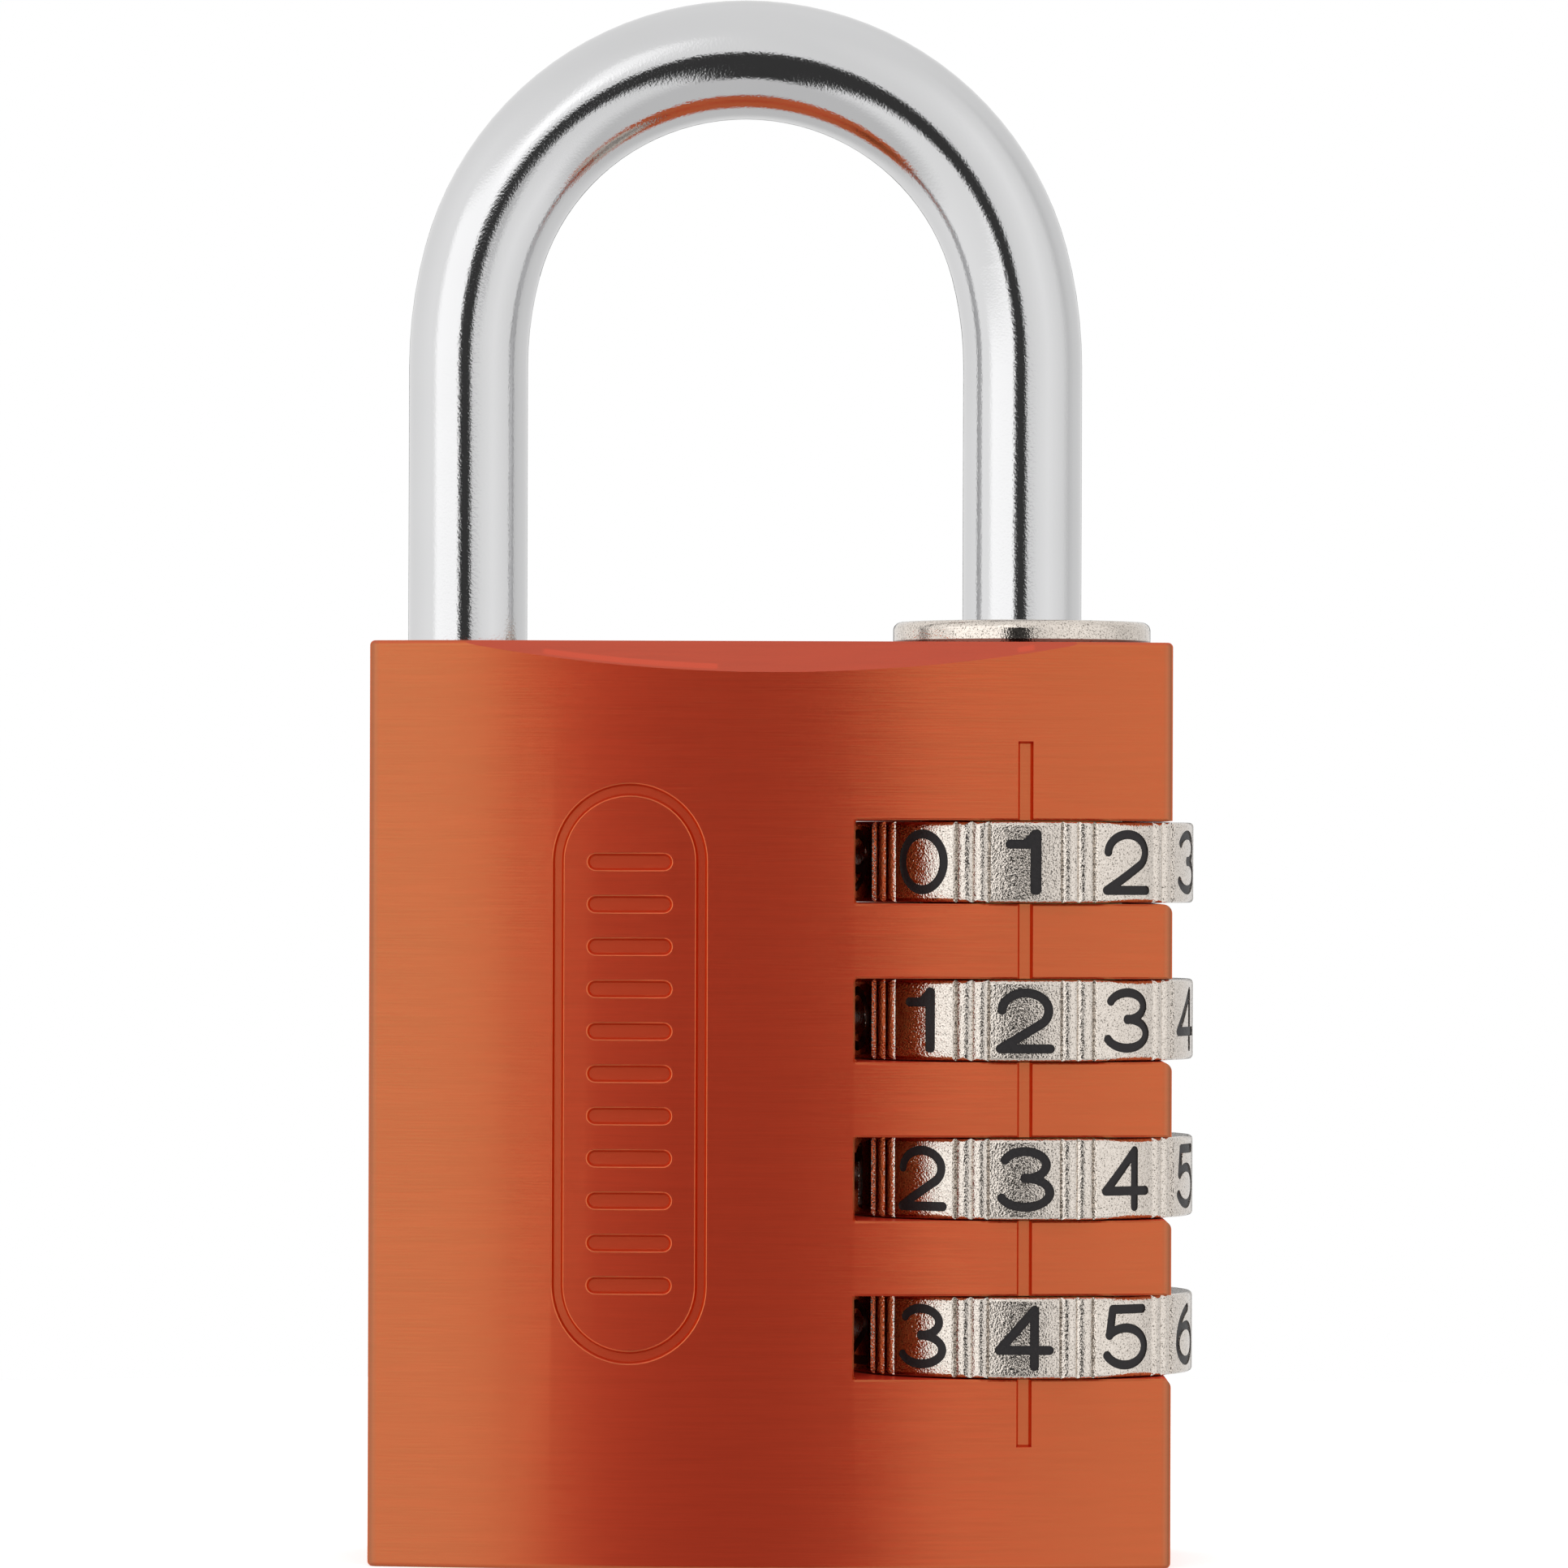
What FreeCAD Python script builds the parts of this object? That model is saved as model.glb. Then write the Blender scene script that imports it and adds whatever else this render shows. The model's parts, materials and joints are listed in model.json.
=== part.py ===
"""Four-dial combination padlock, in millimetres.

+X is to the right, +Z is up and -Y is the front.  The origin is the centre of
the flat underside.  The four dials turn on a vertical axis in the right-hand
half of the body, and the long leg of the shackle runs down through them.
"""
import FreeCAD, Part
import math
import os

V = FreeCAD.Vector
UP = V(0, 0, 1)
FRONT_TO_BACK = V(0, 1, 0)

# ---- body block -------------------------------------------------------------
BODY_W = 40.0            # width over the flat sides
BODY_H = 46.1
MID_T = 18.0             # thickness at the middle of the convex faces
SIDE_T = 14.0            # thickness at the flat sides
CORNER_R = 0.5           # the four upright corners
RIM_R = 0.25             # edges of the top and of the underside
BEVEL_DROP = 1.57        # height of the lens-shaped bevel at the middle of the top edge
BEVEL_IN = 1.28          # how far that bevel reaches back at the middle

# ---- shackle ----------------------------------------------------------------
BAR_R = 3.0
BOW_X = -1.36            # middle of the bow
BOW_TOP = 78.65          # highest point of the bow
BOW_R = 13.77            # centreline radius over the top
BOW_HALF_ANGLE = 75.0    # the top radius runs this far to each side of upright
HAUNCH_R = 20.5          # centreline radius that blends the bow into the legs
SHORT_LEG_IN = 5.2       # how deep the short leg stands in the body
LEG_CHAMFER = 0.6
SHORT_HOLE_R = 3.15
SHORT_HOLE_DEPTH = 6.6
MOUTH_CHAMFER = 0.2

haunch_sin = math.sin(math.radians(BOW_HALF_ANGLE))
haunch_cos = math.cos(math.radians(BOW_HALF_ANGLE))
BOW_Z = BOW_TOP - BAR_R - BOW_R
LEG_OFFSET = BOW_R * haunch_sin + HAUNCH_R * (1 - haunch_sin)
LEG_TOP = BOW_Z + (BOW_R - HAUNCH_R) * haunch_cos
AXIS_X = BOW_X + LEG_OFFSET          # long leg, dials and hubs share this axis
SHORT_X = BOW_X - LEG_OFFSET

# ---- dials ------------------------------------------------------------------
DIALS = 4
DIGITS = 10
STEP = 360.0 / DIGITS
DIAL_R = 8.7
DIAL_H = 4.03
DIAL_RIM_R = 0.22
TOP_DIAL_Z = 35.15       # middle of the uppermost dial
PITCH = 7.87             # from dial to dial
PAD_HALF = 12.3          # half angle of a digit pad, in degrees
PAD_EASE = 0.8           # angle taken by the slope at each side of a pad
GROOVE = 0.16            # depth of the grip grooves
LAND_R = 5.2             # turns on the hub
NOTCH_R = 5.8            # clutch notches, in the upper half
NOTCH_HALF = 9.0
RELIEF_R = 5.85          # plain bore, in the lower half
TOOTH_ROOT = 0.3         # teeth and notches run this far past the wall they stand on

# ---- digits on the dials ------------------------------------------------------
STROKE = 0.46
ENGRAVED = 0.2
PAINT_LOW = 0.07         # the paint stands this far below the pad

# ---- slots, index line and emblem ---------------------------------------------
SLOT_H = 4.15
SLOT_END_X = 3.2         # deepest point of the slots, on the middle plane
CUTTER_R = 40.0          # the slots have the round end that a disc cutter leaves
CUTTER_RIM_R = 0.18
FIN_CORNER_R = 0.5       # upper outer corner of the wall between two slots
SLOT_BEVEL = 0.1         # takes the sharp edge off the mouths of the slots
TOOL_OVER = 0.5          # how far a cutting shape stands out of the surface it cuts
INDEX_W = 0.76
INDEX_DEPTH = 0.25
INDEX_Z = (6.1, 41.15)
INDEX_SLOPE = 0.12       # the sides of the index line lean in by this much
EMBLEM_X = -7.0
EMBLEM_Z = 24.6
EMBLEM_W = 7.76
EMBLEM_H = 28.8
EMBLEM_LINE = 0.62
EMBLEM_DEPTH = 0.22
EMBLEM_SLOPE = 0.11      # the sides of its marks lean in by this much
EMBLEM_EDGE_R = 0.06
RIBS = 11                # plain grip ribs inside the emblem's frame
RIB_PITCH = 2.1
RIB_W = 4.3
RIB_H = 0.85

# ---- bore, bush and hubs --------------------------------------------------------
BORE_R = 5.8
BORE_FLOOR = 2.5
FLANGE_R = 6.5
FLANGE_T = 1.15
FLANGE_EDGE_R = 0.42
SLEEVE_R = 5.78
SLEEVE_L = 7.0
BUSH_BORE_R = 3.05
BUSH_MOUTH = 0.15
HUB_H = 7.83
HUB_R = 5.1
HUB_RECESS_R = 4.1
TOOTH_R = 5.7
TOOTH_HALF = 7.4
TOOTH_H = 1.8
TOOTH_UP = 0.1           # underside of the teeth above the middle of the dial
GATE_HALF = 1.0          # half thickness of the gate flange
GATE_R = 2.3
GATE_NOTCH_R = 3.15
GATE_NOTCH_W = 2.4

# ---- lower end of the long leg ----------------------------------------------------
CORE_R = 2.2
CORE_END = 3.0
LUG_W = 2.0
LUG_H = 2.4
LUG_DROP = 1.4           # top of a lug below the middle of its dial
RING_Z = 39.8            # underside of the retaining ring
RING_T = 0.6
RING_IN_R = 2.35
RING_OUT_R = 3.55
RING_GAP = 1.3
RING_PLAY = 0.05

# ---- reset spring and detents -------------------------------------------------------
WASHER_T = 0.6
WASHER_IN_R = 4.2
WASHER_OUT_R = 5.6
STACK_PLAY = 0.025
SPRING_R = 5.1
SPRING_WIRE_R = 0.4
SPRING_PITCH = 1.75
BALL_R = 1.0
BALL_HOLE_R = 1.05
BALL_HOLE_END = -2.2
BALL_GAP = 0.06          # between the ball and the rim of the dial
BALL_SEAT = 0.9          # the spring bears on the ball this far behind its middle
BALL_SPRING_R = 0.68
BALL_SPRING_WIRE_R = 0.14
BALL_SPRING_PITCH = 0.62

DIAL_ZS = [TOP_DIAL_Z - PITCH * n for n in range(DIALS)]
BULGE = (MID_T - SIDE_T) / 2
FACE_R = (BODY_W ** 2 / 4 + BULGE ** 2) / (2 * BULGE)    # of the convex faces
FACE_Y = MID_T / 2 - FACE_R                              # centre of the convex back
MARK_DEPTHS = (-2, 2)    # a mark is lofted from this many depths inside the face to as many outside
ON_FACE = 1e-4           # an edge nearer than this to a face lies on it


# ---- helpers ---------------------------------------------------------------------
def cylinder(r, z0, z1, x=AXIS_X, y=0.0):
    return Part.makeCylinder(r, z1 - z0, V(x, y, z0), UP)


def ring(r_out, r_in, z0, z1):
    return cylinder(r_out, z0, z1).cut(cylinder(r_in, z0, z1))


def box(x0, x1, y0, y1, z0, z1):
    return Part.makeBox(x1 - x0, y1 - y0, z1 - z0, V(x0, y0, z0))


def polar(r, degrees, z=0.0, x=AXIS_X):
    a = math.radians(degrees)
    return V(x + r * math.cos(a), r * math.sin(a), z)


def arc(a, b, c):
    return Part.Arc(a, b, c).toShape()


def line(a, b):
    return Part.LineSegment(a, b).toShape()


def prism(edges, direction):
    return Part.Face(Part.Wire(Part.__sortEdges__(edges))).extrude(direction)


def polygon(corners):
    return Part.Face(Part.makePolygon(corners + corners[:1]))


def union(shapes):
    first = shapes[0]
    if len(shapes) == 1:
        return first
    return first.multiFuse(shapes[1:]).removeSplitter()


def about_axis(shape, degrees):
    turned = shape.copy()
    turned.rotate(V(AXIS_X, 0, 0), UP, degrees)
    return turned


def coil(mean_r, wire_r, pitch, length, base, along):
    """A compression spring with ends ground flat, standing on base."""
    helix = Part.makeHelix(pitch, length, mean_r)
    section = Part.Wire(Part.makeCircle(wire_r, V(mean_r, 0, 0), FRONT_TO_BACK))
    body = Part.Wire(helix.Edges).makePipeShell([section], True, True)
    ends = Part.makeCylinder(mean_r + 2 * wire_r, length, V(0, 0, 0), UP)
    spring = body.common(ends)
    spring.Placement = FreeCAD.Placement(base, FreeCAD.Rotation(UP, along))
    return spring


# ---- body ---------------------------------------------------------------------------
def body_block(inset=0.0):
    """The solid block between two convex faces, each moved inwards by inset."""
    side, mid, edge = BODY_W / 2, MID_T / 2 - inset, SIDE_T / 2 - inset
    outline = [
        arc(V(-side, -edge, 0), V(0, -mid, 0), V(side, -edge, 0)),
        line(V(side, -edge, 0), V(side, edge, 0)),
        arc(V(side, edge, 0), V(0, mid, 0), V(-side, edge, 0)),
        line(V(-side, edge, 0), V(-side, -edge, 0)),
    ]
    return prism(outline, V(0, 0, BODY_H))


def upright(edge):
    size = edge.BoundBox
    return size.ZLength > 1 and size.XLength < 0.01 and size.YLength < 0.01


def bevel_tool():
    """A wedge that takes the top edge off the back, in a shallow lens shape."""
    slope = BEVEL_DROP / BEVEL_IN
    reach = 2.0
    y_top = MID_T / 2 - BEVEL_IN - reach
    y_low = MID_T / 2 + reach
    z_top = BODY_H + slope * reach
    z_low = BODY_H - BEVEL_DROP - slope * reach
    corners = [V(-BODY_W, y_top, z_top), V(-BODY_W, y_low, z_low), V(-BODY_W, y_low, z_top)]
    return polygon(corners).extrude(V(2 * BODY_W, 0, 0))


def slot_tool(z):
    """A disc-shaped cut, open at the front, at the right and at the back."""
    disc = Part.makeCylinder(CUTTER_R, SLOT_H, V(SLOT_END_X + CUTTER_R, 0, z - SLOT_H / 2), UP)
    rims = [e for e in disc.Edges if e.BoundBox.ZLength < 0.01]
    return disc.makeFillet(CUTTER_RIM_R, rims)


def fin_corner_tool(z):
    """Rounds the outer edge of the wall just below a slot."""
    x, top, r = BODY_W / 2, z - SLOT_H / 2, FIN_CORNER_R
    depth = MID_T
    block = box(x - r, x + r, -depth, depth, top - r, top + r)
    rod = Part.makeCylinder(r, 2 * depth, V(x - r, -depth, top - r), FRONT_TO_BACK)
    lower = box(x - r, x, -depth, depth, top - r, top)
    return lower.cut(rod).common(block)


def slot_mouth():
    """The upright edge where the end of a slot meets the convex back."""
    face = V(0, FACE_Y, 0)
    cutter = V(SLOT_END_X + CUTTER_R, 0, 0)
    apart = face.distanceToPoint(cutter)
    towards = (cutter - face).normalize()
    across = V(-towards.y, towards.x, 0)
    along = (FACE_R ** 2 - CUTTER_R ** 2 + apart ** 2) / (2 * apart)
    return face + towards * along + across * math.sqrt(FACE_R ** 2 - along ** 2)


def slot_bevel_tools(z):
    """A conical cut along the top and bottom of a slot's mouth, and a flat one up its end."""
    mouth, low, high = slot_mouth(), z - SLOT_H / 2, z + SLOT_H / 2
    r_in, r_out = FACE_R - SLOT_BEVEL, FACE_R + TOOL_OVER
    rise = SLOT_BEVEL + TOOL_OVER
    section = polygon([
        V(0, FACE_Y + r_in, low),
        V(0, FACE_Y + r_out, low - rise),
        V(0, FACE_Y + r_out, high + rise),
        V(0, FACE_Y + r_in, high),
    ])
    centre = V(0, FACE_Y, 0)
    section.rotate(centre, UP, -math.degrees(math.asin(mouth.x / FACE_R)))
    along = section.revolve(centre, UP, -math.degrees(math.asin(BODY_W / 2 / FACE_R)))

    outwards = V(mouth.x - SLOT_END_X - CUTTER_R, mouth.y, 0).normalize()
    down_wall = V(-outwards.y, outwards.x, 0)
    base = mouth + V(0, 0, low)
    on_face = base - V(SLOT_BEVEL, 0, 0)
    on_wall = base + down_wall * SLOT_BEVEL
    slope = (on_face - on_wall).normalize() * TOOL_OVER
    end = polygon([on_face + slope, on_wall - slope, base + V(TOOL_OVER, TOOL_OVER, 0)])
    return [along, end.extrude(V(0, 0, SLOT_H))]


def stadium(width, height, y):
    """The outline of an upright slot shape with round ends, in the plane at y."""
    r, half = width / 2, height / 2 - width / 2
    return Part.Wire([
        line(V(-r, y, -half), V(-r, y, half)),
        arc(V(-r, y, half), V(0, y, half + r), V(r, y, half)),
        line(V(r, y, half), V(r, y, -half)),
        arc(V(r, y, -half), V(0, y, -half - r), V(-r, y, -half)),
    ])


def sloped(width, height, slope):
    """A stadium of this size at the surface, wider by slope a side for each depth outwards."""
    outlines = []
    for depths in MARK_DEPTHS:
        grow = 2 * slope * depths
        outlines.append(stadium(width + grow, height + grow, MID_T / 2 + depths * EMBLEM_DEPTH))
    return Part.makeLoft(outlines, True, True)


def rib_length(z):
    """Ribs near the ends of the frame are shorter, to follow its round ends."""
    inner_r = EMBLEM_W / 2 - EMBLEM_LINE
    past = max(0.0, abs(z) - (EMBLEM_H / 2 - EMBLEM_W / 2))
    chord = 2 * math.sqrt(max(0.0, inner_r ** 2 - (past + RIB_H / 2) ** 2))
    margin = EMBLEM_W - 2 * EMBLEM_LINE - RIB_W
    return min(RIB_W, chord - margin)


def emblem_tool():
    """A plain frame line with grip ribs inside it, sunk to an even depth."""
    inner_w, inner_h = EMBLEM_W - 2 * EMBLEM_LINE, EMBLEM_H - 2 * EMBLEM_LINE
    island = sloped(inner_w, inner_h, -EMBLEM_SLOPE)
    marks = [sloped(EMBLEM_W, EMBLEM_H, EMBLEM_SLOPE).cut(island)]
    for n in range(RIBS):
        z = (n - (RIBS - 1) / 2) * RIB_PITCH
        rib = sloped(RIB_H, rib_length(z), EMBLEM_SLOPE)
        rib.rotate(V(0, 0, 0), FRONT_TO_BACK, 90)
        rib.translate(V(0, 0, z))
        marks.append(rib)
    tool = Part.makeCompound(marks)
    tool.rotate(V(0, FACE_Y, 0), UP, -math.degrees(math.asin(EMBLEM_X / FACE_R)))
    tool.translate(V(0, 0, EMBLEM_Z))
    return tool.cut(body_block(EMBLEM_DEPTH))


def index_tool():
    """The upright line that the digits are read against, with sloping sides."""
    low, high = INDEX_Z
    outlines = []
    for depths in MARK_DEPTHS:
        grow, y = depths * INDEX_SLOPE, MID_T / 2 + depths * INDEX_DEPTH
        half, z0, z1 = INDEX_W / 2 + grow, low - grow, high + grow
        corners = [V(-half, y, z0), V(half, y, z0), V(half, y, z1), V(-half, y, z1)]
        outlines.append(Part.makePolygon(corners + corners[:1]))
    groove = Part.makeLoft(outlines, True, True)
    groove.rotate(V(0, FACE_Y, 0), UP, -math.degrees(math.asin(AXIS_X / FACE_R)))
    return groove.cut(body_block(INDEX_DEPTH))


def edges_on_back(shape, wanted):
    """Edges that lie on the convex back and whose middle passes the test."""
    curved = [f for f in body_block().Faces if f.Surface.TypeId == "Part::GeomCylinder"]
    back = max(curved, key=lambda f: f.CenterOfMass.y)
    picked = []
    for edge in shape.Edges:
        middle = edge.valueAt((edge.FirstParameter + edge.LastParameter) / 2)
        if wanted(middle) and Part.Vertex(middle).distToShape(back)[0] < ON_FACE:
            picked.append(edge)
    return picked


def by_emblem(point):
    return abs(point.x - EMBLEM_X) < EMBLEM_W and abs(point.z - EMBLEM_Z) < EMBLEM_H / 2 + 1


def plain_half():
    """The half of the block behind the middle plane, with its edges rounded and bevelled."""
    shape = body_block()
    shape = shape.makeFillet(CORNER_R, [e for e in shape.Edges if upright(e)])
    shape = shape.makeFillet(RIM_R, [e for e in shape.Edges if e.BoundBox.ZLength < 0.01])
    half = shape.common(box(-BODY_W, BODY_W, 0, MID_T, -1, BODY_H + 1))
    return half.cut(bevel_tool())


def with_slots(shape):
    for z in DIAL_ZS:
        shape = shape.cut([slot_tool(z), fin_corner_tool(z)] + slot_bevel_tools(z))
    return shape


def marked_half():
    """A half with the emblem and the index line on its convex face."""
    shape = plain_half().cut(emblem_tool())
    shape = shape.makeFillet(EMBLEM_EDGE_R, edges_on_back(shape, by_emblem))
    return with_slots(shape).cut(index_tool())


def body():
    """Both halves are made behind the middle plane, and the marked one is mirrored to the front."""
    front = marked_half().mirror(V(0, 0, 0), FRONT_TO_BACK)
    block = with_slots(plain_half()).fuse(front).removeSplitter()
    cuts = [
        cylinder(BORE_R, BORE_FLOOR, BODY_H + 1),
        cylinder(SHORT_HOLE_R, BODY_H - SHORT_HOLE_DEPTH, BODY_H + 1, SHORT_X),
        Part.makeCone(SHORT_HOLE_R, SHORT_HOLE_R + MOUTH_CHAMFER, MOUTH_CHAMFER,
                      V(SHORT_X, 0, BODY_H - MOUTH_CHAMFER), UP),
    ]
    ball_hole = SLOT_END_X + 1 - BALL_HOLE_END
    for z in DIAL_ZS:
        cuts.append(Part.makeCylinder(BALL_HOLE_R, ball_hole, V(BALL_HOLE_END, 0, z), V(1, 0, 0)))
    return block.cut(cuts)


# ---- shackle --------------------------------------------------------------------------
def bend(centre_x, centre_z, radius, start, sweep):
    """A piece of the bar bent round an axis along Y, from start, anticlockwise from the front."""
    a = math.radians(start)
    out = V(math.cos(a), 0, math.sin(a))
    tangent = V(-math.sin(a), 0, math.cos(a))
    centre = V(centre_x, 0, centre_z)
    disc = Part.Face(Part.Wire(Part.makeCircle(BAR_R, centre + out * radius, tangent)))
    return disc.revolve(centre, V(0, -1, 0), sweep)


def shackle_bow():
    haunch = 90 - BOW_HALF_ANGLE
    shift = (HAUNCH_R - BOW_R) * haunch_sin
    return [
        bend(BOW_X, BOW_Z, BOW_R, haunch, 2 * BOW_HALF_ANGLE),
        bend(BOW_X - shift, LEG_TOP, HAUNCH_R, 0, haunch),
        bend(BOW_X + shift, LEG_TOP, HAUNCH_R, 180 - haunch, haunch),
    ]


def short_leg():
    tip = BODY_H - SHORT_LEG_IN
    leg = cylinder(BAR_R, tip, LEG_TOP, SHORT_X)
    ends = [e for e in leg.Edges if e.BoundBox.ZMax < tip + 0.01]
    return leg.makeChamfer(LEG_CHAMFER, ends)


def lug(z):
    """One locking lug, on the left of the leg, just below the gate of its dial."""
    top = z - LUG_DROP
    block = box(AXIS_X - BAR_R - 1, AXIS_X, -LUG_W / 2, LUG_W / 2, top - LUG_H, top)
    return block.common(cylinder(BAR_R, top - LUG_H, top))


def shackle():
    shoulder = RING_Z + RING_T + RING_PLAY
    pieces = shackle_bow()
    pieces.append(short_leg())
    pieces.append(cylinder(BAR_R, shoulder, LEG_TOP))
    pieces.append(cylinder(CORE_R, CORE_END, shoulder + 1))
    pieces += [lug(z) for z in DIAL_ZS]
    return union(pieces)


# ---- bush and retaining ring -------------------------------------------------------------
def top_bush():
    top = BODY_H + FLANGE_T
    flange = cylinder(FLANGE_R, BODY_H, top)
    upper = [e for e in flange.Edges if e.BoundBox.ZMin > top - 0.01]
    flange = flange.makeFillet(FLANGE_EDGE_R, upper)
    sleeve = cylinder(SLEEVE_R, BODY_H - SLEEVE_L, BODY_H)
    mouth = Part.makeCone(BUSH_BORE_R, BUSH_BORE_R + BUSH_MOUTH, BUSH_MOUTH,
                          V(AXIS_X, 0, top - BUSH_MOUTH), UP)
    groove = cylinder(RING_OUT_R + RING_PLAY, RING_Z - RING_PLAY, RING_Z + RING_T + RING_PLAY)
    bore = cylinder(BUSH_BORE_R, BODY_H - SLEEVE_L, top)
    return union([flange, sleeve]).cut([bore, mouth, groove])


def retaining_ring():
    whole = ring(RING_OUT_R, RING_IN_R, RING_Z, RING_Z + RING_T)
    gap = box(AXIS_X - RING_GAP / 2, AXIS_X + RING_GAP / 2, 0, RING_OUT_R + 1, RING_Z, RING_Z + RING_T)
    return whole.cut(gap)


# ---- hubs ------------------------------------------------------------------------------------
def tooth_ring(r_in, r_out, half_angle, z0, z1):
    """Blocks between two radii, one for each digit."""
    blocks = []
    for n in range(DIGITS):
        mid = n * STEP
        low, high = mid - half_angle, mid + half_angle
        outline = [
            line(polar(r_in, low, z0), polar(r_out, low, z0)),
            arc(polar(r_out, low, z0), polar(r_out, mid, z0), polar(r_out, high, z0)),
            line(polar(r_out, high, z0), polar(r_in, high, z0)),
            arc(polar(r_in, high, z0), polar(r_in, mid, z0), polar(r_in, low, z0)),
        ]
        blocks.append(prism(outline, V(0, 0, z1 - z0)))
    return blocks


def hub(z):
    """A sleeve with clutch teeth outside and a notched gate flange inside."""
    low, high = z - HUB_H / 2, z + HUB_H / 2
    teeth = tooth_ring(HUB_R - TOOTH_ROOT, TOOTH_R, TOOTH_HALF, z + TOOTH_UP, z + TOOTH_UP + TOOTH_H)
    shape = union([cylinder(HUB_R, low, high)] + teeth)
    notch = box(AXIS_X - GATE_NOTCH_R, AXIS_X, -GATE_NOTCH_W / 2, GATE_NOTCH_W / 2, low, high)
    return shape.cut([
        cylinder(HUB_RECESS_R, low, z - GATE_HALF),
        cylinder(HUB_RECESS_R, z + GATE_HALF, high),
        cylinder(GATE_R, low, high),
        notch,
    ])


# ---- dials --------------------------------------------------------------------------------------
def dial_outline(z):
    """Ten flat-topped pads with two round grip ridges between each two."""
    low_r = DIAL_R - GROOVE
    edges = []
    for n in range(DIGITS):
        pad = n * STEP - 90
        pad_edge = PAD_HALF - PAD_EASE
        valleys = [PAD_HALF, STEP / 2, STEP - PAD_HALF]
        edges.append(arc(*[polar(DIAL_R, pad + a, z) for a in (-pad_edge, 0, pad_edge)]))
        edges.append(line(polar(DIAL_R, pad + pad_edge, z), polar(low_r, pad + PAD_HALF, z)))
        for left, right in zip(valleys, valleys[1:]):
            crown = polar(DIAL_R, pad + (left + right) / 2, z)
            edges.append(arc(polar(low_r, pad + left, z), crown, polar(low_r, pad + right, z)))
        edges.append(line(polar(low_r, pad + STEP - PAD_HALF, z),
                          polar(DIAL_R, pad + STEP - pad_edge, z)))
    return edges


def dial_blank(z):
    low, high = z - DIAL_H / 2, z + DIAL_H / 2
    fluted = prism(dial_outline(low), V(0, 0, DIAL_H))
    barrel = cylinder(DIAL_R, low, high)
    barrel = barrel.makeFillet(DIAL_RIM_R, [e for e in barrel.Edges if e.BoundBox.ZLength < 0.01])
    shape = fluted.common(barrel)
    notches = tooth_ring(LAND_R - TOOTH_ROOT, NOTCH_R, NOTCH_HALF, z, high)
    return shape.cut([cylinder(LAND_R, low, high), cylinder(RELIEF_R, low, z)] + notches)


# Each digit is a list of strokes, drawn in mm about its own centre as seen from the
# front.  A line is (x0, z0, x1, z1).  A curve is (x, z, half width, half height, from,
# to) on an ellipse, in degrees anticlockwise from the right.
W, H = 1.24, 1.39        # half width and half height of the strokes' centrelines
STEM = 0.5               # the upright of 1 and 4, right of the middle
GLYPHS = {
    0: [(0, 0, W, H, 0, 360)],
    1: [(STEM - 0.05, -H, STEM - 0.05, H), (STEM + 0.05, -H, STEM + 0.05, H),
        (-0.78, 0.89, STEM, 0.89), (0.05, 0.97, STEM, H)],
    2: [(0, 0.49, 1.16, 0.9, -42, 178), (0.862, -0.112, -W, -H), (-W, -H, W, -H)],
    3: [(0, 0.72, 1.06, H - 0.72, -90, 158), (0, -0.65, W, H - 0.67, -158, 90)],
    4: [(STEM, H, -W, -0.6), (-W, -0.6, W, -0.6), (STEM, H, STEM, -H)],
    5: [(-0.82, H, 1.05, H), (-0.82, H, -1.0, 0.1), (-0.05, -0.47, 1.24, 0.92, -152, 141)],
    6: [(0, -0.5, 1.18, H - 0.5, 0, 360), (0.86, -0.42, 2.03, H + 0.38, 108, 180)],
    7: [(-W, H, W, H), (W, H, -0.35, -H)],
    8: [(0, 0.73, 0.98, H - 0.73, 0, 360), (0, -0.64, W, H - 0.64, 0, 360)],
    9: [(0, 0.5, 1.18, H - 0.5, 0, 360), (-0.86, 0.42, 2.03, H + 0.38, 288, 360)],
}
GLYPH_DEPTH = 2.0


def on_ellipse(x, z, rx, rz, degrees):
    a = math.radians(degrees)
    return V(x + rx * math.cos(a), 0, z + rz * math.sin(a))


def round_end(x, z):
    return Part.makeCylinder(STROKE / 2, GLYPH_DEPTH, V(x, 0, z), FRONT_TO_BACK)


def straight_stroke(x0, z0, x1, z1):
    a, b = V(x0, 0, z0), V(x1, 0, z1)
    along = (b - a).normalize()
    aside = V(-along.z, 0, along.x) * (STROKE / 2)
    outline = polygon([a - aside, b - aside, b + aside, a + aside])
    bar = outline.extrude(V(0, GLYPH_DEPTH, 0))
    return [bar, round_end(x0, z0), round_end(x1, z1)]


def ellipse_disc(x, z, rx, rz):
    long_r, short_r = max(rx, rz), min(rx, rz)
    curve = Part.Ellipse(V(0, 0, 0), long_r, short_r).toShape()
    face = Part.Face(Part.Wire(curve))
    lie_flat = FreeCAD.Rotation(V(1, 0, 0), 90)
    turn = FreeCAD.Rotation(FRONT_TO_BACK, 0 if rx >= rz else 90)
    face.Placement = FreeCAD.Placement(V(x, 0, z), turn.multiply(lie_flat))
    return face.extrude(V(0, GLYPH_DEPTH, 0))


def curved_stroke(x, z, rx, rz, start, end):
    half = STROKE / 2
    loop = ellipse_disc(x, z, rx + half, rz + half).cut(ellipse_disc(x, z, rx - half, rz - half))
    if end - start >= 360:
        return [loop]
    spokes = [V(x, 0, z)]
    steps = max(2, math.ceil((end - start) / 60))
    for n in range(steps + 1):
        spokes.append(on_ellipse(x, z, 3 * rx, 3 * rz, start + (end - start) * n / steps))
    wedge = polygon(spokes).extrude(V(0, GLYPH_DEPTH, 0))
    first, last = (on_ellipse(x, z, rx, rz, a) for a in (start, end))
    return [loop.common(wedge), round_end(first.x, first.z), round_end(last.x, last.z)]


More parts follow.
